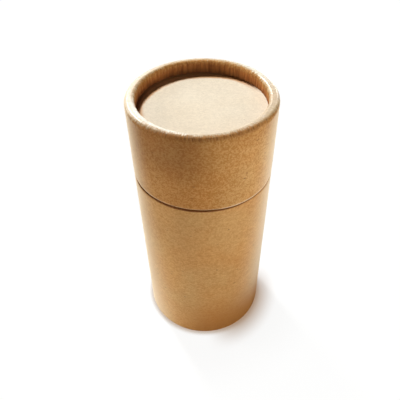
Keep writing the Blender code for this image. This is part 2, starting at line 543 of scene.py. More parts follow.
def times(tree, first, second):
    """The product of two values."""
    return reckon(tree, "MULTIPLY", first, second)


def onto(tree, value, amount, base, clamp=False):
    """A value times an amount, added onto a base."""
    return reckon(tree, "MULTIPLY_ADD", value, amount, base, clamp=clamp)


def vector(tree, operation, inputs):
    """Arithmetic on vectors."""
    return put(tree, "ShaderNodeVectorMath", inputs, operation=operation).outputs[0]


def swing(tree, value, amount, base, clamp=False):
    """A base, plus an amount times how far a value swings off one half."""
    return onto(tree, reckon(tree, "SUBTRACT", value, 0.5), amount, base, clamp)


def rise(tree, value, low, high, start=0.0, end=1.0):
    """A smooth step of a value from start to end, between low and high."""
    inputs = {"Value": value, "From Min": low, "From Max": high, "To Min": start, "To Max": end}
    return put(tree, "ShaderNodeMapRange", inputs, interpolation_type="SMOOTHSTEP").outputs[0]


def mingle(tree, share, first, second, mode="MIX"):
    """Mix two colours by a share."""
    inputs = {0: share, 6: first, 7: second}
    return put(tree, "ShaderNodeMix", inputs, data_type="RGBA", blend_type=mode).outputs[2]


def grain(tree, place, scale, detail=3.0, rough=0.55, stretch=None, turn=0.0):
    """Noise at a scale per millimetre, turned and stretched if asked."""
    if turn:
        inputs = {"Vector": place, "Angle": turn}
        place = put(tree, "ShaderNodeVectorRotate", inputs, rotation_type="Y_AXIS").outputs[0]
    if stretch:
        place = vector(tree, "MULTIPLY", {0: place, 1: stretch})
    inputs = {"Vector": place, "Scale": scale, "Detail": detail, "Roughness": rough}
    return put(tree, "ShaderNodeTexNoise", inputs).outputs["Fac"]


def effect(name, inputs, outputs):
    """Start a shader node group; returns its tree, what comes in, and what goes out.

    An input is given with its usual value, or none where it is a vector.
    """
    tree = bpy.data.node_groups.new(name, "ShaderNodeTree")
    for socket, usual in inputs.items():
        item = tree.interface.new_socket(socket, in_out="INPUT", socket_type=KINDS[type(usual)])
        if usual is not None:
            item.default_value = usual
    for socket, kind in outputs.items():
        tree.interface.new_socket(socket, in_out="OUTPUT", socket_type=kind)
    come = tree.nodes.new("NodeGroupInput").outputs
    go = tree.nodes.new("NodeGroupOutput").inputs
    return tree, come, go


def give(tree, go, **values):
    """Link what a group has made to its named outputs."""
    for socket, value in values.items():
        feed(tree, go[socket], value)


def use(tree, group, inputs):
    """Place a node group in a tree with its own values; returns what it puts out."""
    node = put(tree, "ShaderNodeGroup", {}, node_tree=group)
    for key, value in inputs.items():
        feed(tree, node.inputs[key], value)
    return node.outputs


# Colours

# Stock, each with a pale and a deep tone
KRAFT_PALE = (0.546, 0.310, 0.111, 1)
KRAFT_DEEP = (0.420, 0.207, 0.064, 1)
# The cap's kraft, a darker copy of the base's: painted shade for the less light the cap gets
CAP_SHADED_PALE = (0.480, 0.242, 0.072, 1)
CAP_SHADED_DEEP = (0.357, 0.152, 0.035, 1)
# Cream on the crest: painted light, the kraft painted pale where the key lamp falls on the top
LIT_CREAM = (0.548, 0.447, 0.300, 1)
LIT_CREAM_DEEP = (0.454, 0.343, 0.214, 1)
# The cap disc's kraft, painted pale: painted light where the key lamp falls on the top
LIT_DISC_PALE = (0.722, 0.640, 0.504, 1)
LIT_DISC_DEEP = (0.634, 0.558, 0.436, 1)
OUTER_BOARD_PALE = (0.45, 0.21, 0.075, 1)
OUTER_BOARD_DEEP = (0.33, 0.14, 0.045, 1)
NECK_BOARD_PALE = (0.47, 0.30, 0.15, 1)
NECK_BOARD_DEEP = (0.35, 0.20, 0.09, 1)
SLEEVE_BOARD_PALE = (0.47, 0.32, 0.18, 1)
SLEEVE_BOARD_DEEP = (0.35, 0.22, 0.11, 1)
PARCHMENT_PALE = (0.80, 0.72, 0.58, 1)
PARCHMENT_DEEP = (0.70, 0.61, 0.46, 1)

# Painted light and shade, rubbed fibre, specks and fine lines
# Painted highlight on the crest
CREST_HIGHLIGHT = (0.857, 0.844, 0.743, 1)
# Tan where the painted light of the crest falls off, and darker tan for the shade at the front
TAN = (0.460, 0.325, 0.171, 1)
TAN_SHADED = (0.319, 0.177, 0.066, 1)
# Painted shade over the front corner of the roll
CORNER_SHADE = (0.470, 0.200, 0.052, 1)
# Painted shade in the tuck, the wall of the recess
TUCK_SHADE = (0.400, 0.130, 0.030, 1)
# Dark painted shade: in creases, low in the recess and where the disc meets the wall
SHADE_BROWN = (0.170, 0.062, 0.014, 1)
# Painted shade at the foot on the front right
FOOT_SHADE = (0.405, 0.160, 0.034, 1)
# Painted shade in the seam where it is wide
SEAM_SHADE = (0.190, 0.036, 0.005, 1)
# Painted shadow of the rim on the disc
DISC_SHADOW = (0.454, 0.227, 0.088, 1)
# Rubbed raw fibre at the cap's cut end, partly a painted highlight along it
RAW_EDGE_AND_HIGHLIGHT = (0.800, 0.590, 0.370, 1)
# Painted sheen towards the outline
SHEEN = (0.774, 0.648, 0.468, 1)
SPECK = (0.080, 0.040, 0.018, 1)
PLY_LINE = (0.10, 0.055, 0.025, 1)
BOARD_JOINT = (0.12, 0.065, 0.03, 1)
PARCHMENT_JOINT = (0.45, 0.36, 0.24, 1)

# Tones that multiply the paper under them: the fibres and the warm and cool tones are the paper's
# own, the rest are painted light and shade
PALE_FIBRE_TONE = (1.22, 1.22, 1.25, 1)
THIN_FIBRE_TONE = (1.15, 1.10, 1.00, 1)
DARK_FIBRE_TONE = (0.72, 0.68, 0.62, 1)
WARM_TONE = (1.03, 0.98, 0.92, 1)
COOL_TONE = (0.98, 1.01, 1.05, 1)
# Painted shade in the pleats and the streaks between them
PLEAT_SHADE_TONE = (0.42, 0.34, 0.27, 1)
# Painted shade on the crest at the front right
CREST_SHADE_TONE = (0.87, 0.80, 0.68, 1)
# Painted shade high on the cap's front left
UPPER_SHADE_TONE = (0.60, 0.55, 0.53, 1)
# Painted light on the cap's front right
RIGHT_LIGHT_TONE = (1.16, 1.32, 1.60, 1)
# Painted light low on the base's front left, for the light from the floor
BOUNCE_LIGHT_TONE = (1.05, 1.12, 1.20, 1)


# Where the tones lie

# Sides of the tube, in degrees from +X: the camera looks from about -90
LIT_SIDE = 100
TUCK_SIDE = 88
RIGHT_SIDE = 0
CREST_SHADE_SIDE = -50
HIGHLIGHT_SIDE = 45
DISC_SHADOW_SIDE = 118

# The bands of the rolled edge, in millimetres of paper past the middle of the crest, inwards:
# where the outer border starts and is full, then the inner one. The crest band takes painted
# light, the tan band its fall-off, and the corner band and the tuck take painted shade
CREST_BAND = (-1.75, -0.45), (1.1, 0.0)
TAN_BAND = (-2.6, -1.5), (1.6, 1.0)
CORNER_BAND = (-3.4, -2.0), (3.0, 1.8)
TUCK_STARTS = 1.9, 3.7

# How the borders shift from side to side: a side, how near it the shift starts and is full, and
# the shift at each in millimetres
OUTER_SHIFTS = ((LIT_SIDE, -0.9, 0.0, -0.42, 1.3),)
INNER_SHIFTS = (
    (TUCK_SIDE, -0.5, 0.62, -0.4, 0.7),
    (TUCK_SIDE, 0.62, 0.87, 0.0, 0.6),
    (RIGHT_SIDE, 0.66, 0.86, 0.0, -0.7),
)

# Rings on the disc's facing, in millimetres from the axis: a painted shadow of the rim, and a
# painted line of shade where the disc meets the wall
DISC_SHADOW_RING = 19.2, 20.8
DISC_SHADE_LINE = 20.8, 21.4

# Patches on the walls: a side, how near it they start and are full, the heights in millimetres
# at which they start and are full, and how strong they get. All are painted: shade at the foot and
# high on the front left, and light on the front right and low on the front left
Patch = namedtuple("Patch", "side near heights most")
FOOT_SHADE_PATCH = Patch(-50, (0.1, 0.95), (34.0, 3.0), 1.0)
UPPER_SHADE_PATCH = Patch(-122, (0.68, 0.97), (84.0, 98.0), 0.7)
RIGHT_LIGHT_PATCH = Patch(-30, (0.55, 1.0), (104.0, 98.0), 1.0)
BOUNCE_LIGHT_PATCH = Patch(-122, (0.84, 0.97), (60.0, 40.0), 1.0)


def toward(tree, place, side, reach=TUBE_RADIUS):
    """How far a point lies towards one side of the tube, as a share of the tube's radius."""
    way = math.radians(side)
    aims = {0: place, 1: Vector((math.cos(way), math.sin(way), 0)) / reach}
    return put(tree, "ShaderNodeVectorMath", aims, operation="DOT_PRODUCT").outputs["Value"]


def shifted(tree, place, border, shifts):
    """A border of the rolled edge, moved along the paper from side to side."""
    for side, *steps in shifts:
        border = reckon(tree, "ADD", border, rise(tree, toward(tree, place, side), *steps))
    return border


def band(tree, outer, inner, limits):
    """A band of the rolled edge between its outer and its inner border."""
    return times(tree, rise(tree, outer, *limits[0]), rise(tree, inner, *limits[1]))


def patch(tree, place, up, spot):
    """A soft patch on one side of the wall, between two heights."""
    beside = rise(tree, toward(tree, place, spot.side), *spot.near)
    return times(tree, beside, rise(tree, up, *spot.heights, 0.0, spot.most))


# Effects that several finishes share

def build_unrolled():
    """Places as they were on the flat sheet: round the tube, out and up, in millimetres."""
    outputs = {"Sheet": VECTOR, "Around": NUMBER, "Out": NUMBER, "Up": NUMBER}
    tree, come, go = effect("unrolled", {"Place": None, "Lap": 0.0}, outputs)
    turned = {"Vector": come["Place"], "Angle": reckon(tree, "SUBTRACT", math.pi, come["Lap"])}
    spun = put(tree, "ShaderNodeVectorRotate", turned, rotation_type="Z_AXIS").outputs[0]
    x, y, z = put(tree, "ShaderNodeSeparateXYZ", {0: spun}).outputs
    turn = reckon(tree, "ARCTAN2", y, x)
    squares = reckon(tree, "ADD", times(tree, x, x), times(tree, y, y))
    around = times(tree, turn, TUBE_RADIUS / MM)
    out = reckon(tree, "DIVIDE", reckon(tree, "SQRT", squares), MM)
    up = reckon(tree, "DIVIDE", z, MM)
    sheet = put(tree, "ShaderNodeCombineXYZ", {0: around, 1: out, 2: up}).outputs[0]
    give(tree, go, Sheet=sheet, Around=around, Out=out, Up=up)
    return tree


def build_kraft():
    """Kraft paper: clouded stock, fibres at three slants, and a fine tooth."""
    inputs = {"Sheet": None, "Pale": KRAFT_PALE, "Deep": KRAFT_DEEP}
    inputs.update({"Fibre": 1.0, "Grain": 3.4, "Tint": 1.0})
    outputs = {"Colour": COLOUR, "Height": NUMBER, "Gloss": NUMBER}
    tree, come, go = effect("kraft_sheet", inputs, outputs)
    sheet, pale, deep = come["Sheet"], come["Pale"], come["Deep"]
    cloud = grain(tree, sheet, 0.10, 3.0, 0.55)
    mottle = grain(tree, sheet, 0.95, 3.0, 0.62, (0.8, 1.0, 1.0))
    fleck = grain(tree, sheet, 1.9, 3.0, 0.7)
    tooth = grain(tree, sheet, 8.0, 2.0, 0.6)
    tone = swing(tree, mottle, 1.9, 0.5)
    tone = swing(tree, fleck, come["Grain"], tone)
    tone = swing(tree, cloud, 0.9, tone, clamp=True)
    colour = mingle(tree, tone, deep, pale)
    level = grain(tree, sheet, 0.9, 4.0, 0.65, (0.34, 2.2, 2.2))
    slant = grain(tree, sheet, 1.1, 3.0, 0.65, (0.24, 2.0, 2.8), turn=0.55)
    counter = grain(tree, sheet, 1.2, 3.0, 0.65, (0.22, 2.0, 3.0), turn=-0.8)
    pale_fibre = rise(tree, level, 0.55, 0.70)
    thin_fibre = rise(tree, slant, 0.58, 0.70)
    dark_fibre = rise(tree, counter, 0.59, 0.70)
    for fibre, share, stock, fibre_tone in (
        (pale_fibre, 0.30, pale, PALE_FIBRE_TONE),
        (thin_fibre, 0.25, pale, THIN_FIBRE_TONE),
        (dark_fibre, 0.34, deep, DARK_FIBRE_TONE),
    ):
        shown = times(tree, fibre, times(tree, come["Fibre"], share))
        colour = mingle(tree, shown, colour, mingle(tree, 1.0, stock, fibre_tone, "MULTIPLY"))
    tint = rise(tree, grain(tree, sheet, 0.05, 2.0, 0.5), 0.35, 0.65)
    warmth = mingle(tree, swing(tree, tint, come["Tint"], 0.5), WARM_TONE, COOL_TONE)
    colour = mingle(tree, 1.0, colour, warmth, "MULTIPLY")
    height = onto(tree, mottle, 0.45, times(tree, fleck, 0.35))
    height = onto(tree, tooth, 0.22, height)
    fibres = reckon(tree, "ADD", pale_fibre, thin_fibre)
    height = onto(tree, fibres, 0.16, height)
    gloss = onto(tree, mottle, 0.6, times(tree, pale_fibre, 0.3), clamp=True)
    give(tree, go, Colour=colour, Height=height, Gloss=gloss)
    return tree


def build_specks():
    """Sparse dark shives in the paper, each a short bent splinter."""
    tree, come, go = effect("specks", {"Sheet": None, "Size": 0.13, "Share": 0.3}, {"Mask": NUMBER})
    inputs = {"Vector": come["Sheet"], "Scale": 2.4, "Detail": 2.0}
    ragged = put(tree, "ShaderNodeTexNoise", inputs).outputs["Color"]
    shift = vector(tree, "SUBTRACT", {0: ragged, 1: (0.5, 0.5, 0.5)})
    shift = vector(tree, "SCALE", {0: shift, 3: 0.5})
    place = vector(tree, "ADD", {0: come["Sheet"], 1: shift})
    place = vector(tree, "MULTIPLY", {0: place, 1: (0.55, 1.0, 1.0)})
    cells = put(tree, "ShaderNodeTexVoronoi", {"Vector": place, "Scale": 0.42, "Randomness": 1.0})
    picked = put(tree, "ShaderNodeSeparateColor", {0: cells.outputs["Color"]}).outputs
    chosen = reckon(tree, "LESS_THAN", picked[0], come["Share"])
    reach = times(tree, come["Size"], reckon(tree, "ADD", picked[1], 0.35))
    near = reckon(tree, "LESS_THAN", cells.outputs["Distance"], reach)
    soft = times(tree, near, onto(tree, picked[2], 0.6, 0.4))
    give(tree, go, Mask=times(tree, chosen, soft))
    return tree


def build_rub():
    """Where a part has been rubbed: strong at an edge, ragged, and gone at its reach."""
    tree, come, go = effect("rub", {"Sheet": None, "Distance": 1.0, "Reach": 0.5}, {"Mask": NUMBER})
    ragged = grain(tree, come["Sheet"], 2.2, 4.0, 0.7)
    reach = times(tree, come["Reach"], onto(tree, ragged, 1.8, 0.1))
    share = reckon(tree, "DIVIDE", come["Distance"], reach)
    give(tree, go, Mask=reckon(tree, "SUBTRACT", 1.0, share, clamp=True))
    return tree


def build_plies():
    """Fine dark lines where the plies of a board meet, by distance through its wall."""
    tree, come, go = effect("plies", {"Through": 0.0, "Ply": 0.3, "Sheet": None}, {"Mask": NUMBER})
    waver = times(tree, grain(tree, come["Sheet"], 0.8, 2.0), 0.05)
    count = reckon(tree, "DIVIDE", reckon(tree, "ADD", come["Through"], waver), come["Ply"])
    line = reckon(tree, "PINGPONG", reckon(tree, "FRACT", count), 0.5)
    give(tree, go, Mask=rise(tree, line, 0.16, 0.03))
    return tree


def build_spiral():
    """The joint of a spirally wound ply: a fine line that climbs as it goes round."""
    inputs = {"Around": 0.0, "Up": 0.0, "Climb": 0.5, "Rise": 80.0, "Start": 0.0, "Width": 0.25}
    tree, come, go = effect("spiral_joint", inputs, {"Line": NUMBER, "Lip": NUMBER})
    along = onto(tree, come["Around"], come["Climb"], come["Up"])
    along = reckon(tree, "ADD", along, come["Start"])
    turn = reckon(tree, "WRAP", along, come["Rise"], 0.0)
    off = reckon(tree, "SUBTRACT", turn, times(tree, come["Rise"], 0.5))
    line = rise(tree, reckon(tree, "ABSOLUTE", off), come["Width"], 0.0)
    above = reckon(tree, "GREATER_THAN", off, 0.0)
    give(tree, go, Line=line, Lip=times(tree, rise(tree, off, 2.5, 0.0), above))
    return tree


def build_rolled_edge():
    """A wrap's rolled edge: cream painted light on the crest, tan at its borders, brown painted
    shade beyond it and in its creases.

    Run is how far the paper has come past the middle of the crest, and Fold how deep it is
    creased.
    """
    inputs = {"Place": None, "Sheet": None, "Up": 0.0, "Run": 0.0, "Fold": 0.0}
    inputs.update({"Paper": KRAFT_PALE, "Cream": LIT_CREAM})
    tree, come, go = effect("rolled_edge", inputs, {"Colour": COLOUR, "Crest": NUMBER})
    place, sheet, fold = come["Place"], come["Sheet"], come["Fold"]
    ragged = grain(tree, sheet, 2.2, 3.0, 0.75, (1.0, 0.3, 0.3))
    wander = onto(tree, ragged, 3.8, onto(tree, fold, 0.5, -2.5))
    edge = reckon(tree, "ADD", come["Run"], wander)
    outer = shifted(tree, place, edge, OUTER_SHIFTS)
    inner = shifted(tree, place, edge, INNER_SHIFTS)
    crest = band(tree, outer, inner, CREST_BAND)
    tan = band(tree, outer, inner, TAN_BAND)
    corner = band(tree, outer, edge, CORNER_BAND)
    tuck = rise(tree, inner, *TUCK_STARTS)

    # Painted shade: brown over the corner at the front, and dark ticks of shade between the pleats
    away = toward(tree, place, LIT_SIDE)
    front = rise(tree, away, -0.6, -0.85)
    colour = mingle(tree, times(tree, corner, front), come["Paper"], CORNER_SHADE)
    ticks = rise(tree, grain(tree, sheet, 1.3, 2.0, 0.7, (1.0, 0.25, 0.25)), 0.54, 0.40)
    ticked = times(tree, corner, rise(tree, away, 0.3, -0.4, 0.15, 0.85))
    colour = mingle(tree, times(tree, ticks, ticked), colour, SHADE_BROWN)

    # Painted shade: brown in the tuck, and darker low down and at the back
    colour = mingle(tree, times(tree, tuck, 0.8), colour, TUCK_SHADE)
    low = rise(tree, come["Up"], 104.0, 101.4, 0.0, 0.6)
    back = rise(tree, toward(tree, place, TUCK_SIDE), 0.55, 0.85, 0.0, 0.6)
    dark = reckon(tree, "ADD", low, back, clamp=True)
    colour = mingle(tree, times(tree, tuck, dark), colour, SHADE_BROWN)

    # The crest: cream painted light, tan where it falls off and darker tan in shade at the front,
    # painted shade at the front right, and a painted highlight at the front left and the back right
    colour = mingle(tree, tan, colour, mingle(tree, front, TAN, TAN_SHADED))
    crest_shade = rise(tree, toward(tree, place, CREST_SHADE_SIDE), 0.1, 0.8)
    colour = mingle(tree, crest, colour, mingle(tree, crest_shade, come["Cream"], CREST_SHADE_TONE, "MULTIPLY"))
    side = toward(tree, place, HIGHLIGHT_SIDE)
    front_left = rise(tree, side, -0.66, -0.86, 0.0, 0.95)
    front_left = times(tree, front_left, rise(tree, edge, -0.7, 0.3))
    highlight = reckon(tree, "MAXIMUM", rise(tree, side, 0.72, 0.92, 0.0, 0.45), front_left)
    colour = mingle(tree, times(tree, crest, highlight), colour, CREST_HIGHLIGHT)

    # Painted shade, dark in the pleats and in streaks between them
    streak = rise(tree, grain(tree, sheet, 0.7, 3.0, 0.7, (1.0, 0.12, 0.12)), 0.56, 0.38)
    streak = times(tree, streak, tuck)
    hollow = onto(tree, fold, 0.5, times(tree, streak, 0.4), clamp=True)
    colour = mingle(tree, hollow, colour, PLEAT_SHADE_TONE, "MULTIPLY")
    give(tree, go, Colour=colour, Crest=crest)
    return tree


def build_cut_end():
    """A wrap's cut end at the seam: rubbed to raw fibre and partly a painted highlight on the cap,
    and painted shade on the base where the seam is wide.
    """
    inputs = {"Place": None, "Distance": 1.0, "Rub": 0.0, "Rub And Highlight": 0.0, "Seam Shade": 0.0}
    tree, come, go = effect("cut_end", {**inputs, "Paper": KRAFT_PALE}, {"Colour": COLOUR})
    seam = toward(tree, come["Place"], SEAM_SIDE)
    # Rubbed raw fibre, partly a painted highlight, strongest where the seam is wide
    raw = times(tree, rise(tree, seam, -0.3, 0.6, 0.2, 1.0), come["Rub And Highlight"])
    raw = times(tree, come["Rub"], raw)
    colour = mingle(tree, raw, come["Paper"], RAW_EDGE_AND_HIGHLIGHT)
    # Painted shade on the cut end where the seam is wide
    wide = rise(tree, seam, 0.0, 0.9, 0.15, 1.0)
    seam_shade = times(tree, rise(tree, come["Distance"], 0.45, 0.05), wide)
    seam_shade = times(tree, seam_shade, come["Seam Shade"])
    give(tree, go, Colour=mingle(tree, seam_shade, colour, SEAM_SHADE))
    return tree


def build_wall_shading():
    """Painted light and shade on a wall: browner shade at the foot, darker shade high on the front
    left, and paler light on the front right and low on the front left.
    """
    inputs = {"Place": None, "Up": 0.0, "Crest": 0.0, "Right Light": 0.0, "Bounce Light": 0.0}
    inputs["Paper"] = KRAFT_PALE
    tree, come, go = effect("wall_shading", inputs, {"Colour": COLOUR, "Foot": NUMBER})
    place, up = come["Place"], come["Up"]
    # Painted shade at the foot
    foot = patch(tree, place, up, FOOT_SHADE_PATCH)
    colour = mingle(tree, times(tree, foot, 0.9), come["Paper"], FOOT_SHADE)
    off_crest = reckon(tree, "SUBTRACT", 1.0, come["Crest"])
    # Painted shade high on the front left, and painted light on the front right and low on the
    # front left
    for spot, share, tone in (
        (UPPER_SHADE_PATCH, off_crest, UPPER_SHADE_TONE),
        (RIGHT_LIGHT_PATCH, come["Right Light"], RIGHT_LIGHT_TONE),
        (BOUNCE_LIGHT_PATCH, come["Bounce Light"], BOUNCE_LIGHT_TONE),
    ):
        mark = times(tree, patch(tree, place, up, spot), share)
        colour = mingle(tree, mark, colour, tone, "MULTIPLY")
    give(tree, go, Colour=colour, Foot=foot)
    return tree


UNROLLED = build_unrolled()
KRAFT = build_kraft()
SPECKS = build_specks()
RUB = build_rub()
PLIES = build_plies()
SPIRAL = build_spiral()
ROLLED_EDGE = build_rolled_edge()
CUT_END = build_cut_end()
WALL_SHADING = build_wall_shading()


# Finishes

def finish_of(name):
    """A new material; returns it, its tree, its shader and its object coordinates."""
    material = bpy.data.materials.new(name)
    material.use_nodes = True
    tree = material.node_tree
    shader = next(node for node in tree.nodes if node.type == "BSDF_PRINCIPLED")
    place = put(tree, "ShaderNodeTexCoord", {}).outputs["Object"]
    return material, tree, shader, place


def dress(tree, shader, colour, rough, height, depth, strength=0.6, specular=0.5):
    """Colour, roughness, bump and a plain specular level onto the shader."""
    feed(tree, shader.inputs["Base Color"], colour)
    feed(tree, shader.inputs["Roughness"], rough)
    shader.inputs["Specular IOR Level"].default_value = specular
    bump = put(tree, "ShaderNodeBump", {"Height": height, "Distance": depth, "Strength": strength})
    feed(tree, shader.inputs["Normal"], bump.outputs[0])


def shade_wrap(name, pale, deep, tooth, lap, cut, cut_marks, wall_shading):
    """A kraft wrap, with its rolled edge, its cut end at the seam, and painted light and shade on
    its wall.
    """
    material, tree, shader, place = finish_of(name)
    flat = use(tree, UNROLLED, {"Place": place, "Lap": math.radians(lap)})
    sheet, up = flat["Sheet"], flat["Up"]
    run = put(tree, "ShaderNodeAttribute", {}, attribute_name="run").outputs["Fac"]
    fold = put(tree, "ShaderNodeAttribute", {}, attribute_name="fold").outputs["Fac"]
    kraft = use(tree, KRAFT, {"Sheet": sheet, "Pale": pale, "Deep": deep, "Grain": tooth})
    cream = use(tree, KRAFT, {"Sheet": sheet, "Pale": LIT_CREAM, "Deep": LIT_CREAM_DEEP, "Fibre": 0.5})
    edge = {"Place": place, "Sheet": sheet, "Up": up, "Run": run, "Fold": fold}
    edge.update({"Paper": kraft["Colour"], "Cream": cream["Colour"]})
    rolled = use(tree, ROLLED_EDGE, edge)
    speck = use(tree, SPECKS, {"Sheet": sheet})["Mask"]
    colour = mingle(tree, times(tree, speck, 0.6), rolled["Colour"], SPECK)
    off_cut = reckon(tree, "ABSOLUTE", reckon(tree, "SUBTRACT", up, cut / MM))
    worn = use(tree, RUB, {"Sheet": sheet, "Distance": off_cut, "Reach": 0.85})["Mask"]
    end = {"Place": place, "Distance": off_cut, "Rub": worn, "Paper": colour}
    colour = use(tree, CUT_END, {**end, **cut_marks})["Colour"]
    wall = {"Place": place, "Up": up, "Crest": rolled["Crest"], "Paper": colour}
    shading = use(tree, WALL_SHADING, {**wall, **wall_shading})
    # Painted sheen: paler towards the outline, except where the foot is painted in shade
    facing = put(tree, "ShaderNodeLayerWeight", {"Blend": 0.5}).outputs["Facing"]
    unshaded = reckon(tree, "SUBTRACT", 1.0, shading["Foot"])
    facing = times(tree, rise(tree, facing, 0.5, 1.0), unshaded)
    sheen = times(tree, facing, rise(tree, run, 1.5, 0.0, 0.0, 0.9))
    colour = mingle(tree, sheen, shading["Colour"], SHEEN)
    rough = onto(tree, kraft["Gloss"], -0.12, 0.72)
    height = onto(tree, worn, 0.6, kraft["Height"])
    dress(tree, shader, colour, rough, height, 0.05 * MM, 0.7, specular=0.14)
    feed(tree, shader.inputs["Coat Weight"], rolled["Crest"])
    shader.inputs["Coat Roughness"].default_value = 0.4
    shader.inputs["Coat IOR"].default_value = 1.8
    return material


def shade_disc_paper(name, pale, deep):
    """Kraft facing on a flat disc, with a painted shadow of the rim and a painted line of shade at
    the rim of a wide one, on the side the key lamp shines from.
    """
    material, tree, shader, place = finish_of(name)
    scaled = vector(tree, "SCALE", {0: place, 3: 1 / MM})
    x, y, z = put(tree, "ShaderNodeSeparateXYZ", {0: scaled}).outputs
    sheet = put(tree, "ShaderNodeCombineXYZ", {0: x, 1: z, 2: y}).outputs[0]
    stock = {"Pale": pale, "Deep": deep, "Fibre": 0.7, "Tint": 0.2}
    kraft = use(tree, KRAFT, {"Sheet": sheet, **stock})
    flat = vector(tree, "MULTIPLY", {0: scaled, 1: (1, 1, 0)})
    out = put(tree, "ShaderNodeVectorMath", {0: flat}, operation="LENGTH").outputs["Value"]
    out = reckon(tree, "ADD", grain(tree, sheet, 1.2, 2.0, 0.6), out)
    # Painted shadow of the rim, wider on the key lamp's side, and a painted line of shade at the
    # wall
    side = toward(tree, place, DISC_SHADOW_SIDE)
    line = times(tree, rise(tree, out, *DISC_SHADE_LINE), rise(tree, side, -0.15, 0.20, 0.0, 0.95))
    line = times(tree, line, rise(tree, side, 0.40, 0.70, 1.0, 0.35))
    out = reckon(tree, "ADD", out, rise(tree, side, 0.30, 0.66, 0.0, 1.7))
    painted_shadow = times(tree, rise(tree, out, *DISC_SHADOW_RING), rise(tree, side, -0.15, 0.35, 0.0, 0.95))
    colour = mingle(tree, painted_shadow, kraft["Colour"], DISC_SHADOW)
    colour = mingle(tree, line, colour, SHADE_BROWN)
    speck = use(tree, SPECKS, {"Sheet": sheet, "Size": 0.10, "Share": 0.2})["Mask"]
    colour = mingle(tree, times(tree, speck, 0.35), colour, SPECK)
    rough = onto(tree, kraft["Gloss"], -0.08, 0.50)
    dress(tree, shader, colour, rough, kraft["Height"], 0.05 * MM, specular=0.05)
    return material


def shade_board(name, pale, deep, outer, ply, start):
    """Wound board: brown stock, plies on its cut ends and a spiral joint on its faces."""
    material, tree, shader, place = finish_of(name)
    flat = use(tree, UNROLLED, {"Place": place})
    kraft = use(tree, KRAFT, {"Sheet": flat["Sheet"], "Pale": pale, "Deep": deep, "Fibre": 0.8})
    through = reckon(tree, "SUBTRACT", outer / MM, flat["Out"])
    plies = use(tree, PLIES, {"Through": through, "Ply": ply / MM, "Sheet": flat["Sheet"]})
    normal = put(tree, "ShaderNodeNewGeometry", {}).outputs["Normal"]
    lean = reckon(tree, "ABSOLUTE", put(tree, "ShaderNodeSeparateXYZ", {0: normal}).outputs[2])
    end = rise(tree, lean, 0.55, 0.8)
    line = times(tree, times(tree, plies["Mask"], end), 0.7)
    colour = mingle(tree, line, kraft["Colour"], PLY_LINE)
    around, up = flat["Around"], flat["Up"]
    joint = use(tree, SPIRAL, {"Around": around, "Up": up, "Climb": 0.54, "Start": start})
    seam = times(tree, joint["Line"], reckon(tree, "SUBTRACT", 1.0, end))
    colour = mingle(tree, times(tree, seam, 0.6), colour, BOARD_JOINT)
    height = onto(tree, seam, -1.2, kraft["Height"])
    height = onto(tree, joint["Lip"], 0.5, height)
    rough = onto(tree, kraft["Gloss"], -0.1, 0.72)
    dress(tree, shader, colour, rough, height, 0.06 * MM, specular=0.1)
    return material


def shade_parchment(name):
    """Greaseproof sheet: pale, satin and faintly clouded, with a joint line."""
    material, tree, shader, place = finish_of(name)
    flat = use(tree, UNROLLED, {"Place": place})
    stock = {"Pale": PARCHMENT_PALE, "Deep": PARCHMENT_DEEP, "Fibre": 0.4}
    kraft = use(tree, KRAFT, {"Sheet": flat["Sheet"], **stock})
    around, up = flat["Around"], flat["Up"]
    joint = use(tree, SPIRAL, {"Around": around, "Up": up, "Climb": -0.5, "Start": 13.0})
    line = times(tree, joint["Line"], 0.4)
    colour = mingle(tree, line, kraft["Colour"], PARCHMENT_JOINT)
    rough = onto(tree, kraft["Gloss"], -0.12, 0.40)
    height = onto(tree, joint["Lip"], 0.8, kraft["Height"])
    dress(tree, shader, colour, rough, height, 0.02 * MM)
    return material


def wear(piece, material, body, slot, *nodes):
    """Give a piece its finish, put it on its body and hide the CAD nodes it stands for."""
    piece.data.materials.clear()
    piece.data.materials.append(material)
    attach(piece, body)
    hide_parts(*nodes)


# The studio

# The camera as fitted to the photograph, with its three turns in radians
CAMERA_PLACE = (0.0, -0.123508, 0.178376)
CAMERA_PITCH = 0.771599
CAMERA_YAW = -0.010419
CAMERA_ROLL = -0.021292
CAMERA_LENS = 39.158

# The floor: what it shows the camera, and the table that lights the tube from below
GREY_FLOOR = (0.10, 0.10, 0.10, 1)
FAR_FLOOR = (0.02, 0.02, 0.02, 1)
CLEAN_FLOOR = (1, 1, 0.995, 1)
TOUCH_SHADE = (0.60, 0.50, 0.42, 1)
CAST_SHADE = (0.40, 0.26, 0.16, 1)
TABLE = (0.90, 0.89, 0.87, 1)
TABLE_SHADE = (0.10, 0.06, 0.03, 1)
SHADE_SIDE = -30


def build_camera():
    """The camera, with a lens in millimetres and no shift."""
    data = bpy.data.cameras.new("camera")
    camera = bpy.data.objects.new("camera", data)
    bpy.context.scene.collection.objects.link(camera)
    data.lens = CAMERA_LENS
    data.clip_start = 0.01
    data.clip_end = 20.0
    yaw = Matrix.Rotation(-CAMERA_YAW, 4, "Z")
    pitch = Matrix.Rotation(math.pi / 2 - CAMERA_PITCH, 4, "X")
    turn = yaw @ pitch @ Matrix.Rotation(CAMERA_ROLL, 4, "Z")
    camera.matrix_world = Matrix.Translation(CAMERA_PLACE) @ turn
    bpy.context.scene.camera = camera


def seen_rays(tree):
    """1 for rays that see the background: from the camera, in gloss and through glass."""
    path = put(tree, "ShaderNodeLightPath", {}).outputs
    seen = reckon(tree, "MAXIMUM", path["Is Camera Ray"], path["Is Glossy Ray"])
    return reckon(tree, "MAXIMUM", seen, path["Is Transmission Ray"])


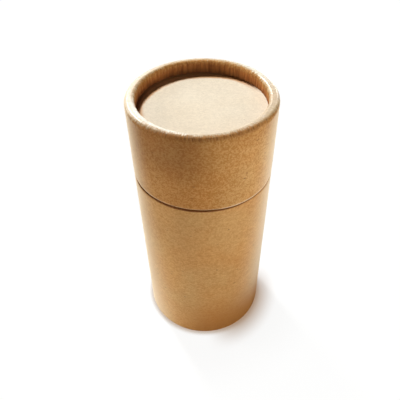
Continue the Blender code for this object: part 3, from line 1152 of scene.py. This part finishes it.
def build_floor():
    """A wide floor, white to the camera, that keeps the tube's shadow and its brown shade.

    The cast shadow is grey and fades away from the tube. Close to the foot the floor is shaded
    brown on one side. To all other rays it is a pale table round the tube, dark further off.
    """
    bpy.ops.object.select_all(action="DESELECT")
    where = (0, 0, FLOOR)
    bpy.ops.mesh.primitive_circle_add(vertices=64, radius=3.0, fill_type="NGON", location=where)
    floor = bpy.context.object
    floor.name = "floor"
    material = bpy.data.materials.new("floor")
    material.use_nodes = True
    tree = material.node_tree
    tree.nodes.clear()
    place = put(tree, "ShaderNodeTexCoord", {}).outputs["Object"]
    out = put(tree, "ShaderNodeVectorMath", {0: place}, operation="LENGTH").outputs["Value"]
    way = toward(tree, vector(tree, "NORMALIZE", {0: place}), SHADE_SIDE, 1.0)

    # The table, for rays that light the tube
    table = mingle(tree, rise(tree, out, 0.14, 0.30), TABLE, GREY_FLOOR)
    dim = times(tree, rise(tree, out, 0.090, 0.030), rise(tree, way, 0.1, 0.9))
    table = mingle(tree, dim, table, TABLE_SHADE)
    table = put(tree, "ShaderNodeBsdfDiffuse", {"Color": table}).outputs[0]

    # The white floor, for the camera: a share that takes the shadow, and a glow
    grey = mingle(tree, rise(tree, out, 0.032, 0.056), GREY_FLOOR, FAR_FLOOR)
    grey = put(tree, "ShaderNodeBsdfDiffuse", {"Color": grey}).outputs[0]
    close = put(tree, "ShaderNodeAmbientOcclusion", {"Distance": 0.003}, samples=16).outputs["AO"]
    white = mingle(tree, rise(tree, close, 0.5, 0.95), TOUCH_SHADE, CLEAN_FLOOR)
    shaded = times(tree, rise(tree, out, 0.0358, 0.0224), rise(tree, way, 0.50, 0.98))
    white = mingle(tree, shaded, white, CAST_SHADE)
    level = rise(tree, out, 0.032, 0.056, 0.91, 0.985)
    glow = put(tree, "ShaderNodeEmission", {"Color": white, "Strength": level}).outputs[0]
    white = put(tree, "ShaderNodeAddShader", {0: grey, 1: glow}).outputs[0]

    mix = put(tree, "ShaderNodeMixShader", {0: seen_rays(tree), 1: table, 2: white}).outputs[0]
    put(tree, "ShaderNodeOutputMaterial", {"Surface": mix})
    floor.data.materials.append(material)


def build_world(strength):
    """A white background, and a faint even light of the given strength."""
    world = bpy.data.worlds.new("studio")
    bpy.context.scene.world = world
    world.use_nodes = True
    tree = world.node_tree
    tree.nodes.clear()
    light, white = (
        put(tree, "ShaderNodeBackground", {"Color": (1, 1, 1, 1), "Strength": level}).outputs[0]
        for level in (strength, 1.0)
    )
    mix = put(tree, "ShaderNodeMixShader", {0: seen_rays(tree), 1: light, 2: white}).outputs[0]
    put(tree, "ShaderNodeOutputWorld", {"Surface": mix})


def lamp(name, side, lift, distance, size, power, height, colour=(1, 1, 1)):
    """A round area lamp that faces the tube's axis at a height.

    It stands at a distance, on a side and at a lift in degrees.
    """
    data = bpy.data.lights.new(name, "AREA")
    data.shape = "DISK"
    data.size = size
    data.energy = power
    data.color = colour
    light = bpy.data.objects.new(name, data)
    bpy.context.scene.collection.objects.link(light)
    turn, lift = math.radians(side), math.radians(lift)
    level = math.cos(lift)
    way = Vector((math.cos(turn) * level, math.sin(turn) * level, math.sin(lift)))
    light.location = Vector((0, 0, height)) + way * distance
    light.rotation_euler = way.to_track_quat("Z", "Y").to_euler()
    light.visible_camera = False
    return light


build_camera()
build_floor()
build_world(0.003)

# Lamps: side and lift in degrees, distance and size in metres, watts, and the height they face
lamp("key", 121, 47, 1.2, 0.15, 21.5, CREST)
lamp("right", -18, 4, 0.28, 0.10, 0.062, 0.092).data.spread = math.radians(60)
lamp("left", 165, 20, 1.0, 0.30, 5.0, 0.06)
lamp("front", -95, 12, 1.0, 0.30, 4.0, 0.06, (1.0, 0.94, 0.86))
lamp("rim", 65, 10, 1.0, 0.25, 2.5, CREST)
bpy.context.scene.view_settings.view_transform = "Standard"


# The pieces

# The cap's cut end is rubbed and partly painted with a highlight, its front right painted in light;
CAP_WRAP = shade_wrap(
    "cap_kraft", CAP_SHADED_PALE, CAP_SHADED_DEEP, 6.2, CAP_LAP, CAP_FOOT,
    {"Rub And Highlight": 0.9}, {"Right Light": 0.9}
)
# the base's cut end is painted in shade at the seam, its front left painted in light low down
BASE_WRAP = shade_wrap(
    "base_kraft", KRAFT_PALE, KRAFT_DEEP, 3.2, BASE_LAP, SHOULDER,
    {"Seam Shade": 0.9}, {"Bounce Light": 0.9}
)
# The cap disc is painted pale, for the key lamp's light on its top
DISC_PAPER = shade_disc_paper("disc_kraft", LIT_DISC_PALE, LIT_DISC_DEEP)
PUSH_PAPER = shade_disc_paper("push_kraft", KRAFT_PALE, KRAFT_DEEP)
OUTER_BOARD = shade_board(
    "outer_board", OUTER_BOARD_PALE, OUTER_BOARD_DEEP, BOARD_RADIUS, PLY, 21.0
)
NECK_BOARD = shade_board(
    "neck_board", NECK_BOARD_PALE, NECK_BOARD_DEEP, NECK_RADIUS, FINE_PLY, 47.0
)
SLEEVE_BOARD = shade_board(
    "sleeve_board", SLEEVE_BOARD_PALE, SLEEVE_BOARD_DEEP, SLEEVE_RADIUS, FINE_PLY, 5.0
)
PARCHMENT = shade_parchment("parchment")

# Cap and base: which roll, how long, from which face and in which direction the section runs
cap = CREST_ROLL, CREST - CAP_FOOT, CREST, -1
base = FOOT_ROLL, SHOULDER - FLOOR, FLOOR, 1
cap_paper = make_wrap("cap_paper", *cap, CAP_LAP, 11, CAP_SHORT)
base_paper = make_wrap("base_paper", *base, BASE_LAP, 29, BASE_SHORT)
cap_board = make_rolled_board("cap_board", *cap, CAP_SHORT)
base_board = make_rolled_board("base_board", *base, BASE_SHORT)
wear(cap_paper, CAP_WRAP, "cap", "kraft_paper", "cap_wrap")
wear(base_paper, BASE_WRAP, "base", "kraft_paper", "base_wrap")
wear(cap_board, OUTER_BOARD, "cap", "wound_board", "cap_core")
wear(base_board, OUTER_BOARD, "base", "wound_board", "base_core")

for name, node, rounding, steps, finish, body, slot in (
    ("neck_board", "neck_tube", LIP, 40, NECK_BOARD, "base", "kraft_board"),
    ("neck_parchment", "neck_lining", 0.04 * MM, 40, PARCHMENT, "base", "greaseproof_parchment"),
    ("plunger_board", "plunger_sleeve", 0.2 * MM, 8, SLEEVE_BOARD, "plunger", "kraft_board"),
):
    tube = make_tube(name, node, rounding, steps)
    wear(tube, finish, body, slot, node)

for name, node, body, up, finish, slot in (
    ("cap_disc_paper", "cap_disc_facing", "cap", True, DISC_PAPER, "kraft_paper"),
    ("cap_disc_parchment", "cap_disc_lining", "cap", False, PARCHMENT, "greaseproof_parchment"),
    ("push_disc_paper", "push_disc_facing", "plunger", False, PUSH_PAPER, "kraft_paper"),
    (
        "plunger_parchment", "plunger_disc_facing", "plunger", True, PARCHMENT,
        "greaseproof_parchment",
    ),
):
    disc = make_disc(name, node, up, 0.05 * MM)
    wear(disc, finish, body, slot, node)

for node in ("cap_disc", "push_disc", "plunger_disc"):
    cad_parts[node].data.materials.clear()
    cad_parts[node].data.materials.append(OUTER_BOARD)
